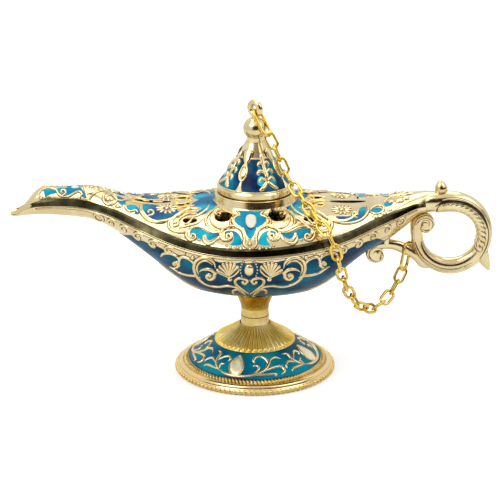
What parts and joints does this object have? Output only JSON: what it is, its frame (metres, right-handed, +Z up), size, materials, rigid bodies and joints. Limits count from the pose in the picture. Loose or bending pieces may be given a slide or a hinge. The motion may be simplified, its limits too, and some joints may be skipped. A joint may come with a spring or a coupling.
{
  "type": "genie oil lamp",
  "caption": "Genie oil lamp in gold metal and blue enamel: boat-shaped body with long spout, ring handle, round foot and a lift-off lid on a chain",
  "frame": {"origin": "middle of the foot's underside, on the surface that the lamp stands on", "axes": "+Z up along the axis of foot, mouth and lid; the spout points to -X, the handle to +X"},
  "size_m": [0.2032, 0.074, 0.1191],
  "materials": {
    "champagne_gold": "polished",
    "yellow_gold": "polished",
    "steel": "brushed"
  },
  "bodies": {
    "lamp": {"bowl": "champagne_gold", "cover": "champagne_gold", "collar": "champagne_gold", "foot": "champagne_gold", "foot_screw": "steel", "screw_washer": "steel", "handle": "champagne_gold", "strut_ring": "yellow_gold", "chain": "yellow_gold"},
    "lid": {"lid": "champagne_gold", "lid_sleeve": "champagne_gold", "finial_ball": "champagne_gold", "eye_pin": "champagne_gold", "lid_nut": "steel", "lid_ring": "yellow_gold"}
  },
  "joints": [
    {"name": "lid_lift", "type": "slide", "parent": "lamp", "child": "lid", "axis": [0, 0, 1], "range_m": [0, 0.015], "deforming": ["chain"]}
  ]
}
